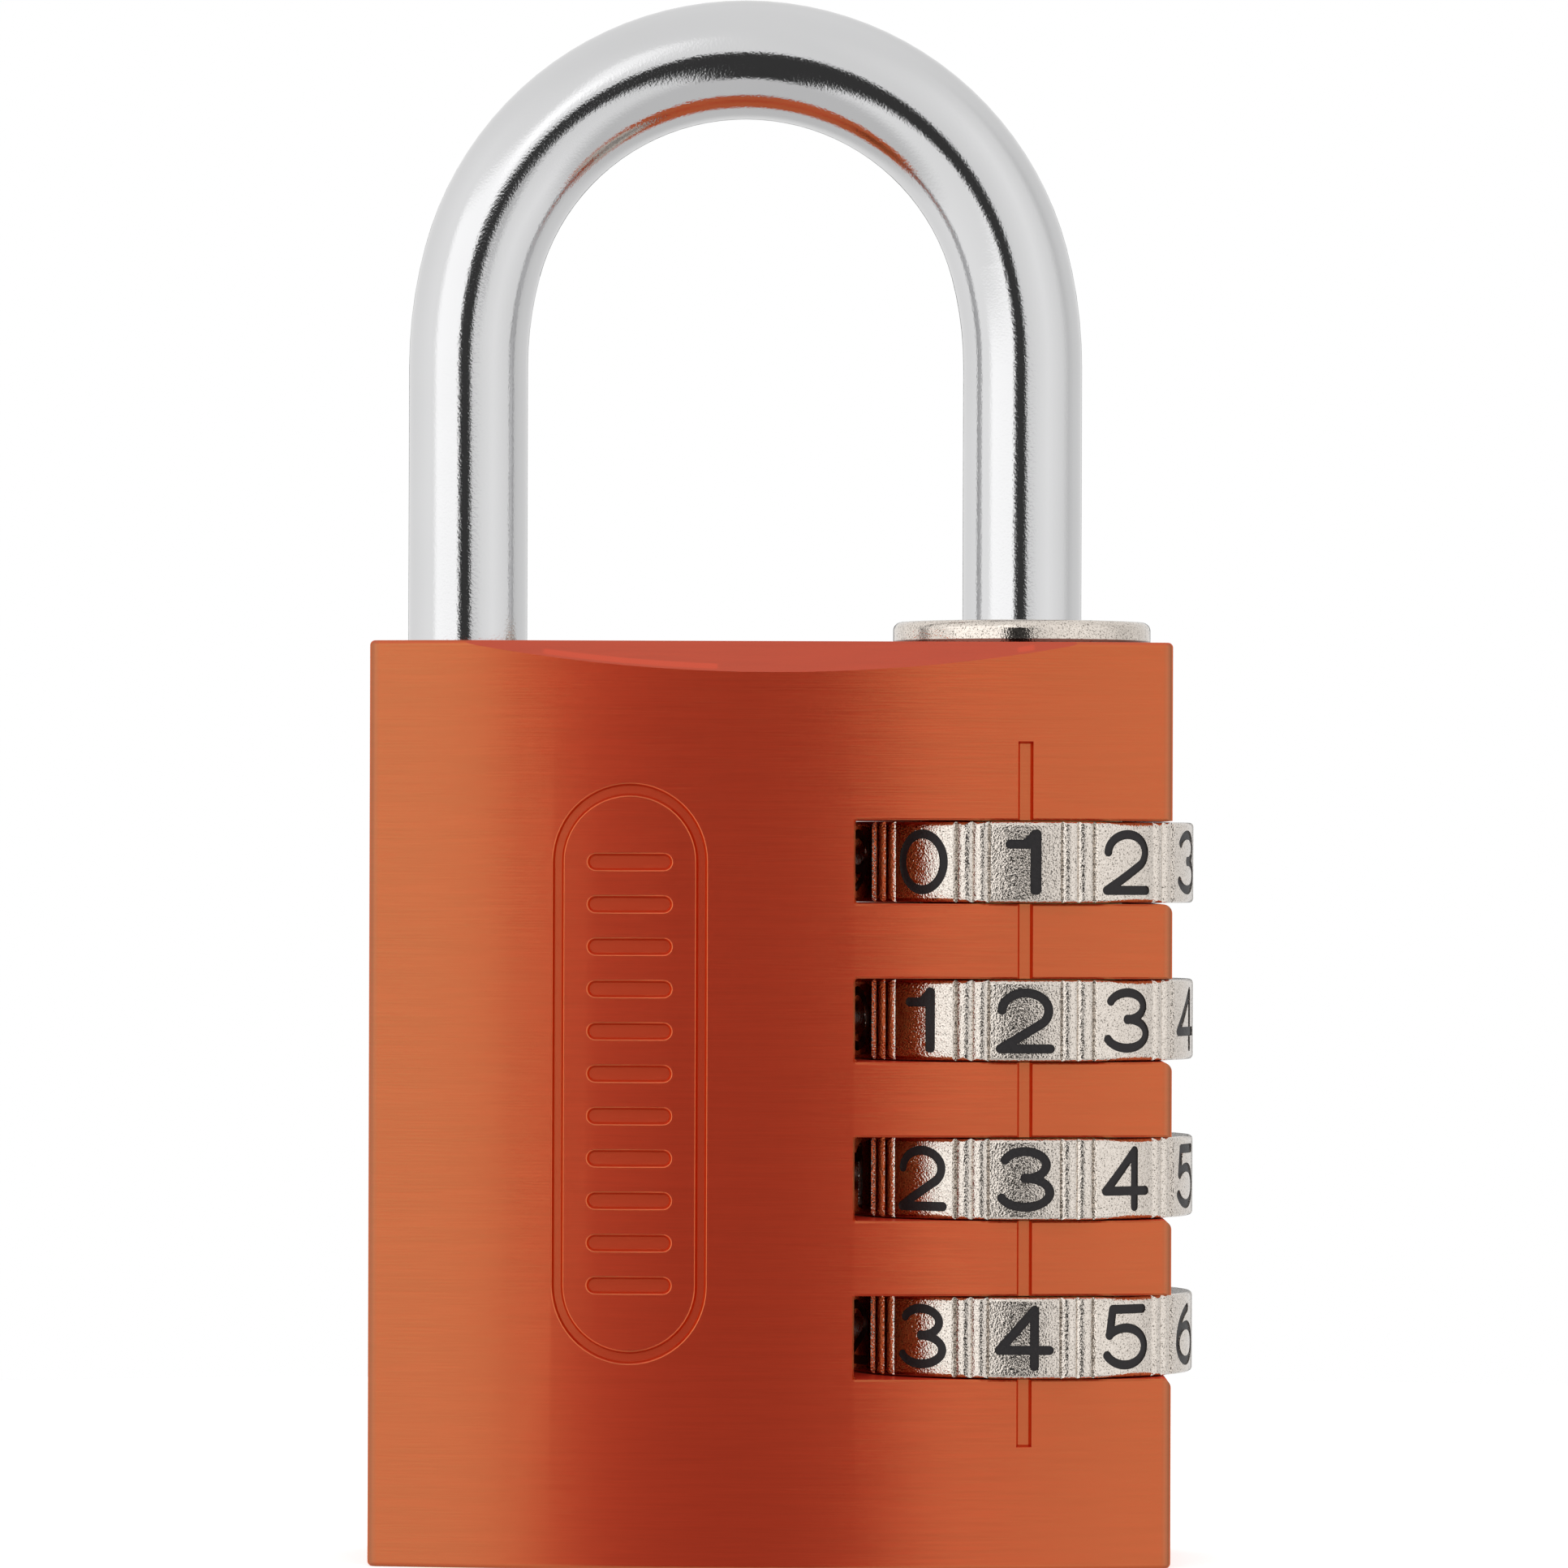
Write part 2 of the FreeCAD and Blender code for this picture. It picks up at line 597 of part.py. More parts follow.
def glyph(digit):
    """A digit as a solid that runs inwards from just outside the front of the dial."""
    strokes = []
    for stroke in GLYPHS[digit]:
        make = straight_stroke if len(stroke) == 4 else curved_stroke
        strokes += make(*stroke)
    shape = union(strokes)
    shape.translate(V(AXIS_X, -DIAL_R - GLYPH_DEPTH / 2, 0))
    return shape


def digits_between(r_in, r_out):
    """The ten digits where they lie between two radii, with 0 at the front."""
    shell = ring(r_out, r_in, -DIAL_H, DIAL_H)
    return [about_axis(glyph(d).common(shell), d * STEP) for d in range(DIGITS)]


def make_dials():
    """Every dial is the same piece. They differ in the digit that faces the front."""
    blank = dial_blank(0).cut(digits_between(DIAL_R - ENGRAVED, DIAL_R + GLYPH_DEPTH / 4))
    paint = Part.makeCompound(digits_between(DIAL_R - ENGRAVED, DIAL_R - PAINT_LOW))
    made = {}
    for n, z in enumerate(DIAL_ZS, start=1):
        for name, shape in (("dial", blank), ("numerals", paint)):
            turned = about_axis(shape, -n * STEP)
            turned.translate(V(0, 0, z))
            made[f"{name}_{n}"] = turned
    return made


# ---- washer, springs and balls ---------------------------------------------------------------------
def thrust_washer():
    top = DIAL_ZS[-1] - HUB_H / 2 - STACK_PLAY
    return ring(WASHER_OUT_R, WASHER_IN_R, top - WASHER_T, top)


def reset_spring():
    top = DIAL_ZS[-1] - HUB_H / 2 - 2 * STACK_PLAY - WASHER_T
    base = BORE_FLOOR + STACK_PLAY
    return coil(SPRING_R, SPRING_WIRE_R, SPRING_PITCH, top - base, V(AXIS_X, 0, base), UP)


def ball_x():
    return AXIS_X - DIAL_R - BALL_GAP - BALL_R


def detent_ball(z):
    return Part.makeSphere(BALL_R, V(ball_x(), 0, z))


def detent_spring(z):
    start = BALL_HOLE_END + STACK_PLAY
    length = ball_x() - BALL_SEAT - start
    return coil(BALL_SPRING_R, BALL_SPRING_WIRE_R, BALL_SPRING_PITCH, length,
                V(start, 0, z), V(1, 0, 0))


# ---- everything ---------------------------------------------------------------------------------------
def make_all():
    nodes = {
        "body": body(),
        "shackle": shackle(),
        "top_bush": top_bush(),
        "retaining_ring": retaining_ring(),
        "thrust_washer": thrust_washer(),
        "reset_spring": reset_spring(),
    }
    nodes.update(make_dials())
    for n, z in enumerate(DIAL_ZS, start=1):
        nodes[f"hub_{n}"] = hub(z)
        nodes[f"detent_ball_{n}"] = detent_ball(z)
        nodes[f"detent_spring_{n}"] = detent_spring(z)
    return nodes


os.makedirs("parts", exist_ok=True)
for name, shape in make_all().items():
    print(f"{name}: {len(shape.Solids)} solid(s), {len(shape.Faces)} faces, "
          f"{shape.Volume:.2f} mm3, valid {shape.isValid()}")
    shape.exportStep(f"parts/{name}.step")
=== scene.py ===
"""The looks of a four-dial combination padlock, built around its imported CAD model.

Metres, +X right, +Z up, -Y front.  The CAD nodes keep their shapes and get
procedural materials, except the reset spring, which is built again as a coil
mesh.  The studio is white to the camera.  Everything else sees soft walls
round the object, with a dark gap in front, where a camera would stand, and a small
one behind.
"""

import json
import math

import bmesh
import bpy
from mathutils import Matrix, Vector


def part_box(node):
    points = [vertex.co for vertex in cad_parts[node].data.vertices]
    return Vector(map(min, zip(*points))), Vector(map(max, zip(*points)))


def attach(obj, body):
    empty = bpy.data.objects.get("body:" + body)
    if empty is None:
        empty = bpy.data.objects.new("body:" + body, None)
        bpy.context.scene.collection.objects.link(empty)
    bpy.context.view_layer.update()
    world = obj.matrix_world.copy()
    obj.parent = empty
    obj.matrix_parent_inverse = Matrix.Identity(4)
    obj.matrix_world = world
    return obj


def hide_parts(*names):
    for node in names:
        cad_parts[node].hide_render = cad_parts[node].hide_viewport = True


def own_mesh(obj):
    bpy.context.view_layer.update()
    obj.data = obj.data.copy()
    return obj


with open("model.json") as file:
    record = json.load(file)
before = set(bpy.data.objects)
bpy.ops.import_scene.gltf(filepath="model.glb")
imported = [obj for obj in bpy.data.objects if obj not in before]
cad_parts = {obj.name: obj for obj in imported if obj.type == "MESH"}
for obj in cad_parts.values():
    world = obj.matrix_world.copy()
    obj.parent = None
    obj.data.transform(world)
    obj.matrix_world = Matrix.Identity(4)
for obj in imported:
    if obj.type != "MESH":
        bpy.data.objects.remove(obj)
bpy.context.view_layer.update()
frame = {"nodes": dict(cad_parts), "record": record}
scene = bpy.context.scene
MM = 0.001

# ---- camera -------------------------------------------------------------------
CAMERA_AT = (0.0, -0.457, 0.0352)
CAMERA_ROLL = math.radians(-0.18)
LENS = 207.6
SHIFT = (0.0083, 0.0487)

# ---- studio -------------------------------------------------------------------
# Sides are degrees round from the front, + is right.  Heights are degrees above level.
WALLS = [                # (side, brightness)
    (-180, 0.90), (-140, 1.00), (-80, 1.16), (-16, 1.08), (8, 0.98),
    (50, 1.16), (85, 1.00), (100, 0.78), (118, 0.88), (180, 0.90),
]
CEILING = 1.0
CEILING_RISE = (25.0, 65.0)          # heights between which the walls turn into it
GROUND = 0.75
GROUND_RISE = (-25.0, -45.0)
PANELS = [               # (sides, heights, added brightness): bright panels on the left
    ((-66.0, -13.0), (-3.0, 26.0), 0.40),
    ((-24.0, -8.0), (18.0, 42.0), 0.35),
]
PANEL_SOFT = 6.0
SHADES = [               # (sides, their softness, heights, brightness)
    ((5.0, 21.0), 8.0, (-8.0, 0.4), 0.68),
    ((-17.5, 5.0), 1.4, (0.8, 10.1), 0.05),
    ((-13.6, 8.0), 1.4, (-3.0, 2.4), 0.05),
    ((-15.4, 8.6), 1.4, (-9.0, -1.4), 0.05),
    ((-13.2, 7.2), 1.4, (-40.4, -7.4), 0.05),
    ((168.0, 192.0), 1.4, (-8.0, 8.0), 0.15),
    ((-192.0, -168.0), 1.4, (-8.0, 8.0), 0.15),
]
SHADE_SOFT = 0.8         # softness of their upper and lower ends

# ---- floor --------------------------------------------------------------------
FLOOR_R = 0.16
FLOOR_SIDES = 96
FLOOR_COLOUR = (0.80, 0.80, 0.80, 1.0)
FLOOR_DULL = (0.77, 0.77, 0.77, 1.0)
FLOOR_CLOUDS = 4 * MM
FLOOR_ROUGH = 0.9
FLOOR_GLOW = 0.6

# ---- body ---------------------------------------------------------------------
BODY_TOP = 46.1 * MM
FACE_R = 101 * MM        # radius of the convex faces
FACE_Y = 92 * MM         # their centres are this far beyond the middle plane
EMBLEM_X = -7.0 * MM
EMBLEM_HALF_W = 4.3 * MM
INDEX_X = 12.64 * MM
INDEX_HALF_W = 0.40 * MM
MARK_SOFT = 0.05 * MM
SUNK = (0.1 * MM, 0.3 * MM)          # depths at which the floors of the marks lie
SUNK_SOFT = 0.02 * MM
BEVEL_TILT = (0.55, 0.69)            # how far up the bevel of the top edge looks
BEVEL_SOFT = 0.01
LEVEL_TILT = 0.7         # faces that look further up or down than this count as level
BROAD_TILT = 0.5         # faces that look further forward or back than this count as broad

# ---- noise ----------------------------------------------------------------------
DETAIL = 2.0             # layers of finer and finer lumps
FINE_DETAIL = 3.0
NICKEL_DETAIL = 1.0

# ---- dyed aluminium -------------------------------------------------------------
ORANGE = (0.75, 0.056, 0.025, 1.0)
ORANGE_DEEP = (0.69, 0.051, 0.023, 1.0)
# painted shade: the dye duller towards both sides and on the bevel, following how the reflections
# fall off there
ORANGE_SHADED_SIDES = (0.645, 0.051, 0.021, 1.0)
# painted shade: the dye darker on the left third, to offset the stronger light from the left
ORANGE_SHADED_LEFT = (0.57, 0.048, 0.022, 1.0)
ORANGE_MATTE = (0.58, 0.055, 0.022, 1.0)
# painted shade and reflection: darker, purpler dye along the outer edges of the broad faces, for
# how these edges look at a low angle
ORANGE_PAINTED_RIM = (0.42, 0.052, 0.042, 1.0)
ORANGE_EDGE = (1.0, 0.62, 0.36, 1.0)     # tint of the dye's reflection at a low angle
SHADED_SIDES_RISE = (7 * MM, 16 * MM)        # from the middle, either way, where the painted shade of the sides sets in
SHADED_LEFT_RISE = (-10 * MM, -19 * MM)
PAINTED_RIM_RISE = (19.45 * MM, 19.9 * MM)
MATTE_SHARE = 0.7
BRUSH_LINES = (3 * MM, 3 * MM, 0.08 * MM)
BRUSH_STREAKS = (11 * MM, 11 * MM, 0.3 * MM)
BRUSH_RISE = (0.35, 0.65)
BRUSH_DEPTH = 0.0015 * MM
STREAK_SHARE = (0.5, 0.3)            # of the streaks, in the colour and in the gloss
DYE_ROUGH = (0.375, 0.42)
MATTE_ROUGH = 0.45
MATTE_BRUSHED = 0.5      # how strongly brushed the matt floors are, beside 1 elsewhere
SEAL = (0.90, 0.93, 0.34, 1.0)       # the clear layer over the dye, as a second gloss
SEAL_ASLANT = (0.90, 0.62, 0.50, 1.0)
# painted reflection: the clear layer's gloss tinted pinker on the upward bevel, for what the bevel
# reflects from above
SEAL_PAINTED_BEVEL = (0.90, 0.57, 0.40, 1.0)
ASLANT_RISE = (0.30, 0.90)           # of the facing weight
SEAL_SHARE = 0.104
SEAL_ROUGH = 0.16

# ---- chrome ---------------------------------------------------------------------
CHROME = (0.63, 0.63, 0.635, 1.0)
CHROME_DULL = (0.60, 0.60, 0.605, 1.0)
CHROME_WAVES = 6 * MM
CHROME_GRAIN = 0.12 * MM
CHROME_DEPTH = 0.006 * MM
CHROME_ROUGH = (0.05, 0.08)

# ---- nickel ---------------------------------------------------------------------
NICKEL = (0.73, 0.665, 0.60, 1.0)
NICKEL_DULL = (0.62, 0.56, 0.50, 1.0)
NICKEL_PIT = (0.16, 0.14, 0.12, 1.0)
NICKEL_CLOUDS = 1.5 * MM
NICKEL_GRAIN = 0.10 * MM
NICKEL_RISE = (0.35, 0.60)
NICKEL_DEPTH = 0.027 * MM
NICKEL_ROUGH = (0.05, 0.09)
PIT_SIZE = 0.07 * MM
PIT_RISE = (0.57, 0.66)
FLANGE_GRAIN = 0.3       # of the dials' grain
# painted shade: a dark band on the bush just above the body's top, where the gap under the flange
# lies in shade
PAINTED_GAP_SHADE = (0.16, 0.06, 0.045, 1.0)
PAINTED_GAP_SHADE_H = 0.2 * MM       # painted shade in the corner between the flange and the body
PAINTED_GAP_SHADE_SOFT = 0.03 * MM

# ---- paint ----------------------------------------------------------------------
ENAMEL = (0.008, 0.007, 0.008, 1.0)
ENAMEL_WORN = (0.020, 0.017, 0.018, 1.0)
ENAMEL_GRAIN = 0.15 * MM
ENAMEL_DEPTH = 0.02 * MM
ENAMEL_ROUGH = (0.4, 0.6)
ENAMEL_GLOSS = 0.3

# ---- turned metals --------------------------------------------------------------
BRASS = (0.74, 0.50, 0.20, 1.0)
BRASS_DULL = (0.58, 0.37, 0.14, 1.0)
BRASS_ROUGH = (0.24, 0.38)
STEEL = (0.48, 0.48, 0.49, 1.0)
STEEL_DULL = (0.33, 0.33, 0.34, 1.0)
STEEL_ROUGH = (0.22, 0.36)
TURNED_STAINS = 2.5 * MM
TURNED_RINGS = (4 * MM, 4 * MM, 0.12 * MM)
TURNED_DEPTH = 0.004 * MM

# ---- reset spring -----------------------------------------------------------------
SPRING_R = 5.1 * MM
SPRING_WIRE_R = 0.4 * MM
SPRING_PITCH = 1.75 * MM
WIRE_SIDES = 16
STEPS_PER_TURN = 64


class Graph:
    """Short ways to add nodes to one shader."""

    def __init__(self, owner):
        owner.use_nodes = True
        self.tree = owner.node_tree
        self.tree.nodes.clear()

    def add(self, kind, **settings):
        node = self.tree.nodes.new(kind)
        for name, value in settings.items():
            setattr(node, name, value)
        return node

    def set(self, socket, value):
        """Links a socket to another one, or gives it a plain value."""
        if isinstance(value, bpy.types.NodeSocket):
            self.tree.links.new(value, socket)
        else:
            socket.default_value = value

    def math(self, operation, a, b=0.0):
        node = self.add("ShaderNodeMath", operation=operation)
        self.set(node.inputs[0], a)
        self.set(node.inputs[1], b)
        return node.outputs[0]

    def rise(self, value, start, end):
        """0 before start, 1 after end, smooth between.  The end may be the lower one."""
        node = self.add("ShaderNodeMapRange", interpolation_type="SMOOTHSTEP")
        self.set(node.inputs["Value"], value)
        node.inputs["From Min"].default_value = start
        node.inputs["From Max"].default_value = end
        return node.outputs["Result"]

    def window(self, value, low, high, soft):
        """1 between low and high, 0 outside, with soft edges."""
        up = self.rise(value, low - soft, low + soft)
        down = self.rise(value, high - soft, high + soft)
        return self.math("SUBTRACT", up, down)

    def mix(self, factor, a, b):
        """A number between a and b."""
        node = self.add("ShaderNodeMix", data_type="FLOAT")
        self.set(node.inputs[0], factor)
        self.set(node.inputs[2], a)
        self.set(node.inputs[3], b)
        return node.outputs[0]

    def tint(self, factor, a, b):
        """A colour between a and b."""
        node = self.add("ShaderNodeMix", data_type="RGBA")
        self.set(node.inputs[0], factor)
        self.set(node.inputs[6], a)
        self.set(node.inputs[7], b)
        return node.outputs[2]

    def blend(self, share, a, b):
        """A shader between a and b."""
        node = self.add("ShaderNodeMixShader")
        self.set(node.inputs[0], share)
        self.set(node.inputs[1], a)
        self.set(node.inputs[2], b)
        return node.outputs[0]

    def place(self):
        return self.add("ShaderNodeTexCoord").outputs["Object"]

    def normal(self):
        return self.add("ShaderNodeTexCoord").outputs["Normal"]

    def axes(self, vector):
        node = self.add("ShaderNodeSeparateXYZ")
        self.set(node.inputs[0], vector)
        return node.outputs

    def scaled(self, vector, scale):
        node = self.add("ShaderNodeVectorMath", operation="MULTIPLY")
        self.set(node.inputs[0], vector)
        node.inputs[1].default_value = scale
        return node.outputs[0]

    def noise(self, vector, grain, detail=DETAIL):
        """Noise whose lumps are about grain long, a length or one length per axis."""
        per_axis = grain if isinstance(grain, tuple) else (grain,) * 3
        node = self.add("ShaderNodeTexNoise")
        self.set(node.inputs["Vector"], self.scaled(vector, [1 / g for g in per_axis]))
        node.inputs["Scale"].default_value = 1.0
        node.inputs["Detail"].default_value = detail
        return node.outputs["Fac"]

    def bump(self, height, depth, strength=1.0):
        node = self.add("ShaderNodeBump")
        self.set(node.inputs["Height"], height)
        node.inputs["Distance"].default_value = depth
        self.set(node.inputs["Strength"], strength)
        return node.outputs["Normal"]

    def principled(self, **inputs):
        node = self.add("ShaderNodeBsdfPrincipled")
        for name, value in inputs.items():
            self.set(node.inputs[name.replace("_", " ")], value)
        return node.outputs[0]

    def finish(self, shader, kind="ShaderNodeOutputMaterial"):
        self.set(self.add(kind).inputs[0], shader)


# ---- camera, studio and floor ----------------------------------------------------
def make_camera():
    data = bpy.data.cameras.new("camera")
    data.lens = LENS
    data.shift_x, data.shift_y = SHIFT
    camera = bpy.data.objects.new("camera", data)
    camera.location = CAMERA_AT
    camera.rotation_euler = (math.pi / 2, CAMERA_ROLL, 0)
    scene.collection.objects.link(camera)
    scene.camera = camera


def wall_light(g, azimuth):
    """Brightness of the walls, by the side they stand on."""
    ramp = g.add("ShaderNodeValToRGB")
    g.set(ramp.inputs[0], g.math("ADD", g.math("DIVIDE", azimuth, 360.0), 0.5))
    stops = ramp.color_ramp.elements
    while len(stops) < len(WALLS):
        stops.new(0.5)
    for stop, (side, bright) in zip(stops, WALLS):
        stop.position = side / 360 + 0.5
        stop.color = (bright, bright, bright, 1.0)
    return ramp.outputs["Color"]


def studio_light(g):
    """Brightness of the whole studio, by direction."""
    x, y, z = g.axes(g.add("ShaderNodeTexCoord").outputs["Generated"])[:3]
    azimuth = g.math("DEGREES", g.math("ARCTAN2", x, g.math("MULTIPLY", y, -1.0)))
    elevation = g.math("DEGREES", g.math("ARCSINE", z))
    light = g.mix(g.rise(elevation, *CEILING_RISE), wall_light(g, azimuth), CEILING)
    for sides, heights, added in PANELS:
        panel = g.math("MULTIPLY", g.window(azimuth, *sides, PANEL_SOFT),
                       g.window(elevation, *heights, PANEL_SOFT))
        light = g.math("ADD", light, g.math("MULTIPLY", panel, added))
    light = g.mix(g.rise(elevation, *GROUND_RISE), light, GROUND)
    for sides, soft, heights, bright in SHADES:
        shade = g.math("MULTIPLY", g.window(azimuth, *sides, soft),
                       g.window(elevation, *heights, SHADE_SOFT))
        light = g.mix(shade, light, bright)
    return light


def make_studio():
    """White to the camera, and the studio's own light to everything else."""
    world = bpy.data.worlds.new("studio")
    scene.world = world
    g = Graph(world)
    seen = g.add("ShaderNodeLightPath").outputs["Is Camera Ray"]
    background = g.add("ShaderNodeBackground")
    g.set(background.inputs["Strength"], g.mix(seen, studio_light(g), 1.0))
    background.inputs["Color"].default_value = (1, 1, 1, 1)
    g.finish(background.outputs[0], "ShaderNodeOutputWorld")


def floor_paper():
    """Matt white paper with a faint glow, so that only a soft shadow shows on it."""
    material = bpy.data.materials.new("floor")
    g = Graph(material)
    g.finish(g.principled(
        Base_Color=g.tint(g.noise(g.place(), FLOOR_CLOUDS), FLOOR_COLOUR, FLOOR_DULL),
        Roughness=FLOOR_ROUGH,
        Emission_Color=FLOOR_COLOUR,
        Emission_Strength=FLOOR_GLOW,
    ))
    return material


def make_floor():
    mesh = bpy.data.meshes.new("floor")
    bm = bmesh.new()
    bmesh.ops.create_circle(bm, cap_ends=True, radius=FLOOR_R, segments=FLOOR_SIDES)
    bm.to_mesh(mesh)
    bm.free()
    mesh.materials.append(floor_paper())
    floor = bpy.data.objects.new("floor", mesh)
    scene.collection.objects.link(floor)
    floor.visible_glossy = False


# ---- materials -------------------------------------------------------------------
def sunk_marks(g, x, y):
    """1 on the floors of the frame and of the index line, which lie below the front face."""
    out = g.math("ADD", g.math("ABSOLUTE", y), FACE_Y)
    radius = g.math("SQRT", g.math("ADD", g.math("MULTIPLY", x, x), g.math("MULTIPLY", out, out)))
    depth = g.math("SUBTRACT", FACE_R, radius)
    emblem = g.window(x, EMBLEM_X - EMBLEM_HALF_W, EMBLEM_X + EMBLEM_HALF_W, MARK_SOFT)
    index = g.window(x, INDEX_X - INDEX_HALF_W, INDEX_X + INDEX_HALF_W, MARK_SOFT)
    sunk = g.math("MULTIPLY", g.math("ADD", emblem, index), g.window(depth, *SUNK, SUNK_SOFT))
    return g.math("MULTIPLY", sunk, g.math("LESS_THAN", y, 0.0))


def dye_colour(g, x, brushed, sunk, bevel, broad):
    """Painted shade to the sides, on the left and on the bevel, and a painted darker, purpler tint
    along the outer edges; matt in the sunk marks.
    """
    across = g.math("ABSOLUTE", x)
    # painted shade and reflection along the outer edges
    rim_shade = g.math("MULTIPLY", broad, g.rise(across, *PAINTED_RIM_RISE))
    colour = g.tint(brushed, ORANGE, ORANGE_DEEP)
    # painted shade: duller towards both sides of the face
    colour = g.tint(g.rise(across, *SHADED_SIDES_RISE), colour, ORANGE_SHADED_SIDES)
    # painted shade: darker towards the left
    colour = g.tint(g.rise(x, *SHADED_LEFT_RISE), colour, ORANGE_SHADED_LEFT)
    colour = g.tint(g.math("MULTIPLY", sunk, MATTE_SHARE), colour, ORANGE_MATTE)
    # painted shade on the bevel
    colour = g.tint(bevel, colour, ORANGE_SHADED_SIDES)
    return g.tint(rim_shade, colour, ORANGE_PAINTED_RIM)


def brush_tangent(g, tilt):
    """Lies across the brushing: up, or from front to back on level faces."""
    level = g.math("GREATER_THAN", g.math("ABSOLUTE", tilt), LEVEL_TILT)
    tangent = g.add("ShaderNodeCombineXYZ")
    g.set(tangent.inputs[1], level)
    g.set(tangent.inputs[2], g.math("SUBTRACT", 1.0, level))
    return tangent.outputs[0]


def seal_gloss(g, bevel, relief):
    """The clear layer's own reflection, which turns pinker at a low angle, with a painted pinker
    tint on the bevel.
    """
    facing = g.add("ShaderNodeLayerWeight").outputs["Facing"]
    # painted reflection: pinker gloss on the bevel
    colour = g.tint(bevel, SEAL, SEAL_PAINTED_BEVEL)
    colour = g.tint(g.rise(facing, *ASLANT_RISE), colour, SEAL_ASLANT)
    return g.principled(Base_Color=colour, Metallic=1.0, Roughness=SEAL_ROUGH, Normal=relief)


def anodised():
    """Aluminium brushed along X and dyed orange, under a clear layer."""
    material = bpy.data.materials.new("anodised_body")
    g = Graph(material)
    place = g.place()
    x, y = g.axes(place)[:2]
    forward, tilt = g.axes(g.normal())[1:3]
    lines = g.rise(g.noise(place, BRUSH_LINES, FINE_DETAIL), *BRUSH_RISE)
    streaks = g.rise(g.noise(place, BRUSH_STREAKS, FINE_DETAIL), *BRUSH_RISE)
    in_colour, in_gloss = [g.mix(share, lines, streaks) for share in STREAK_SHARE]
    sunk = sunk_marks(g, x, y)
    bevel = g.window(tilt, *BEVEL_TILT, BEVEL_SOFT)
    broad = g.math("GREATER_THAN", g.math("ABSOLUTE", forward), BROAD_TILT)
    relief = g.bump(lines, BRUSH_DEPTH)
    dyed = g.principled(
        Base_Color=dye_colour(g, x, in_colour, sunk, bevel, broad),
        Metallic=1.0,
        Roughness=g.mix(sunk, g.mix(in_gloss, *DYE_ROUGH), MATTE_ROUGH),
        Specular_Tint=ORANGE_EDGE,
        Anisotropic=g.mix(sunk, 1.0, MATTE_BRUSHED),
        Tangent=brush_tangent(g, tilt),
        Normal=relief,
    )
    g.finish(g.blend(SEAL_SHARE, dyed, seal_gloss(g, bevel, relief)))
    return material


def chrome():
    """Bright plated steel with a very fine grain."""
    material = bpy.data.materials.new("chromed_steel")
    g = Graph(material)
    place = g.place()
    grain = g.noise(place, CHROME_GRAIN, FINE_DETAIL)
    waves = g.noise(place, CHROME_WAVES)
    g.finish(g.principled(
        Base_Color=g.tint(waves, CHROME, CHROME_DULL),
        Metallic=1.0,
        Roughness=g.mix(waves, *CHROME_ROUGH),
        Normal=g.bump(grain, CHROME_DEPTH),
    ))
    return material


def nickel():
    """Tumbled nickel plate with small pits, smoother on the flange, with painted shade in the gap
    under it.
    """
    material = bpy.data.materials.new("nickel_plate")
    g = Graph(material)
    place = g.place()
    height = g.axes(place)[2]
    grain = g.noise(place, NICKEL_GRAIN, NICKEL_DETAIL)
    clouds = g.noise(place, NICKEL_CLOUDS)
    pits = g.rise(g.noise(place, PIT_SIZE), *PIT_RISE)
    flange = g.math("GREATER_THAN", height, BODY_TOP)
    # painted shade under the flange, just above the body's top
    gap_shade = g.window(height, BODY_TOP, BODY_TOP + PAINTED_GAP_SHADE_H, PAINTED_GAP_SHADE_SOFT)
    colour = g.tint(g.rise(grain, *NICKEL_RISE), NICKEL_DULL, NICKEL)
    colour = g.tint(pits, colour, NICKEL_PIT)
    g.finish(g.principled(
        Base_Color=g.tint(gap_shade, colour, PAINTED_GAP_SHADE),
        Metallic=1.0,
        Roughness=g.mix(clouds, *NICKEL_ROUGH),
        Normal=g.bump(grain, NICKEL_DEPTH, g.mix(flange, 1.0, FLANGE_GRAIN)),
    ))
    return material


def enamel():
    """Black paint in the engraved digits, a little worn."""
    material = bpy.data.materials.new("digit_enamel")
    g = Graph(material)
    grain = g.noise(g.place(), ENAMEL_GRAIN, FINE_DETAIL)
    g.finish(g.principled(
        Base_Color=g.tint(grain, ENAMEL, ENAMEL_WORN),
        Specular_IOR_Level=ENAMEL_GLOSS,
        Roughness=g.mix(grain, *ENAMEL_ROUGH),
        Normal=g.bump(grain, ENAMEL_DEPTH),
    ))
    return material


def turned_metal(name, bright, dull, rough):
    """Machined metal with stains, and with faint rings round an upright axis."""
    material = bpy.data.materials.new(name)
    g = Graph(material)
    place = g.place()
    rings = g.noise(place, TURNED_RINGS)
    stain = g.noise(place, TURNED_STAINS)
    g.finish(g.principled(
        Base_Color=g.tint(stain, bright, dull),
        Metallic=1.0,
        Roughness=g.mix(rings, *rough),
        Normal=g.bump(rings, TURNED_DEPTH),
    ))
    return material


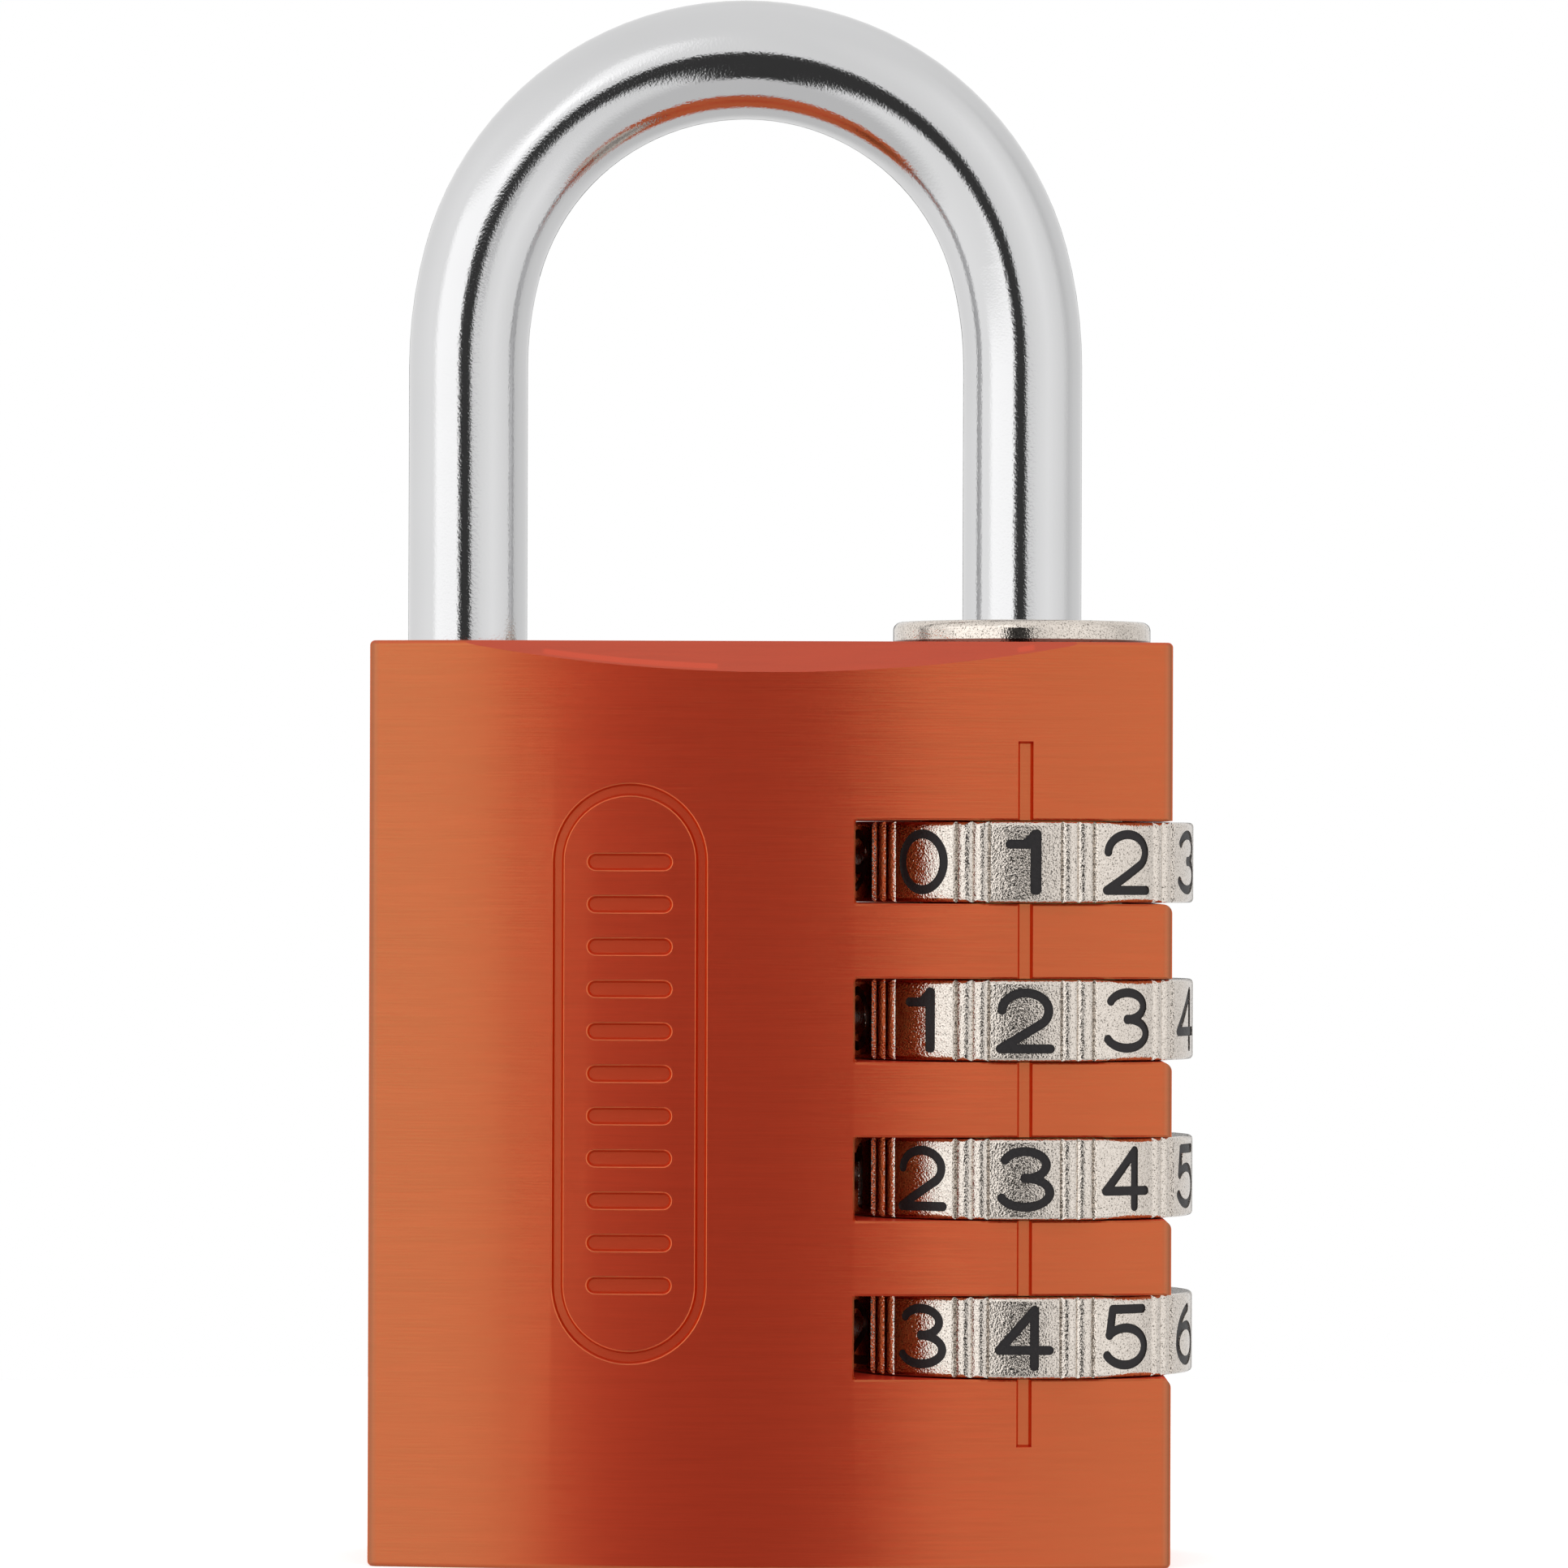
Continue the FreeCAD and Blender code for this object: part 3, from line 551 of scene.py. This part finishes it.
def dress(frame):
    """Gives each CAD node the material of its slot in the record, with smooth shading."""
    materials = {
        "anodised_body": anodised(),
        "chromed_steel": chrome(),
        "nickel_plate": nickel(),
        "digit_enamel": enamel(),
        "brass_hub": turned_metal("brass_hub", BRASS, BRASS_DULL, BRASS_ROUGH),
        "spring_steel": turned_metal("spring_steel", STEEL, STEEL_DULL, STEEL_ROUGH),
    }
    for part in frame["record"]["subparts"]:
        mesh = frame["nodes"][part["node"]].data
        mesh.materials.clear()
        mesh.materials.append(materials[part["material_slot"]])
        mesh.shade_smooth()
    return materials


# ---- reset spring ----------------------------------------------------------------
def coil_mesh(name, centre_x, low, high):
    """A compression spring on an upright axis, its ends ground flat."""
    steps = round((high - low) / SPRING_PITCH * STEPS_PER_TURN)
    bm = bmesh.new()
    rings = []
    for n in range(steps + 1):
        turn = 2 * math.pi * n / STEPS_PER_TURN
        middle = low + (high - low) * n / steps
        ring = []
        for k in range(WIRE_SIDES):
            a = 2 * math.pi * k / WIRE_SIDES
            r = SPRING_R + SPRING_WIRE_R * math.cos(a)
            z = min(max(middle + SPRING_WIRE_R * math.sin(a), low), high)
            ring.append(bm.verts.new((centre_x + r * math.cos(turn), r * math.sin(turn), z)))
        rings.append(ring)
    for one, two in zip(rings, rings[1:]):
        for k in range(WIRE_SIDES):
            after = (k + 1) % WIRE_SIDES
            bm.faces.new((one[k], one[after], two[after], two[k]))
    bm.faces.new(rings[0][::-1])
    bm.faces.new(rings[-1])
    bmesh.ops.recalc_face_normals(bm, faces=bm.faces)
    mesh = bpy.data.meshes.new(name)
    bm.to_mesh(mesh)
    bm.free()
    return mesh


def make_reset_spring(steel):
    """The spring under the hubs, which closes up as they are pressed down."""
    low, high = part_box("reset_spring")
    mesh = coil_mesh("reset_spring_coil", (low.x + high.x) / 2, low.z, high.z)
    mesh.materials.append(steel)
    mesh.shade_smooth()
    piece = bpy.data.objects.new("reset_spring_coil", mesh)
    scene.collection.objects.link(piece)
    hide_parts("reset_spring")
    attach(piece, "case")
    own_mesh(piece)


make_camera()
make_studio()
make_floor()
materials = dress(frame)
make_reset_spring(materials["spring_steel"])
scene.view_settings.view_transform = "Standard"
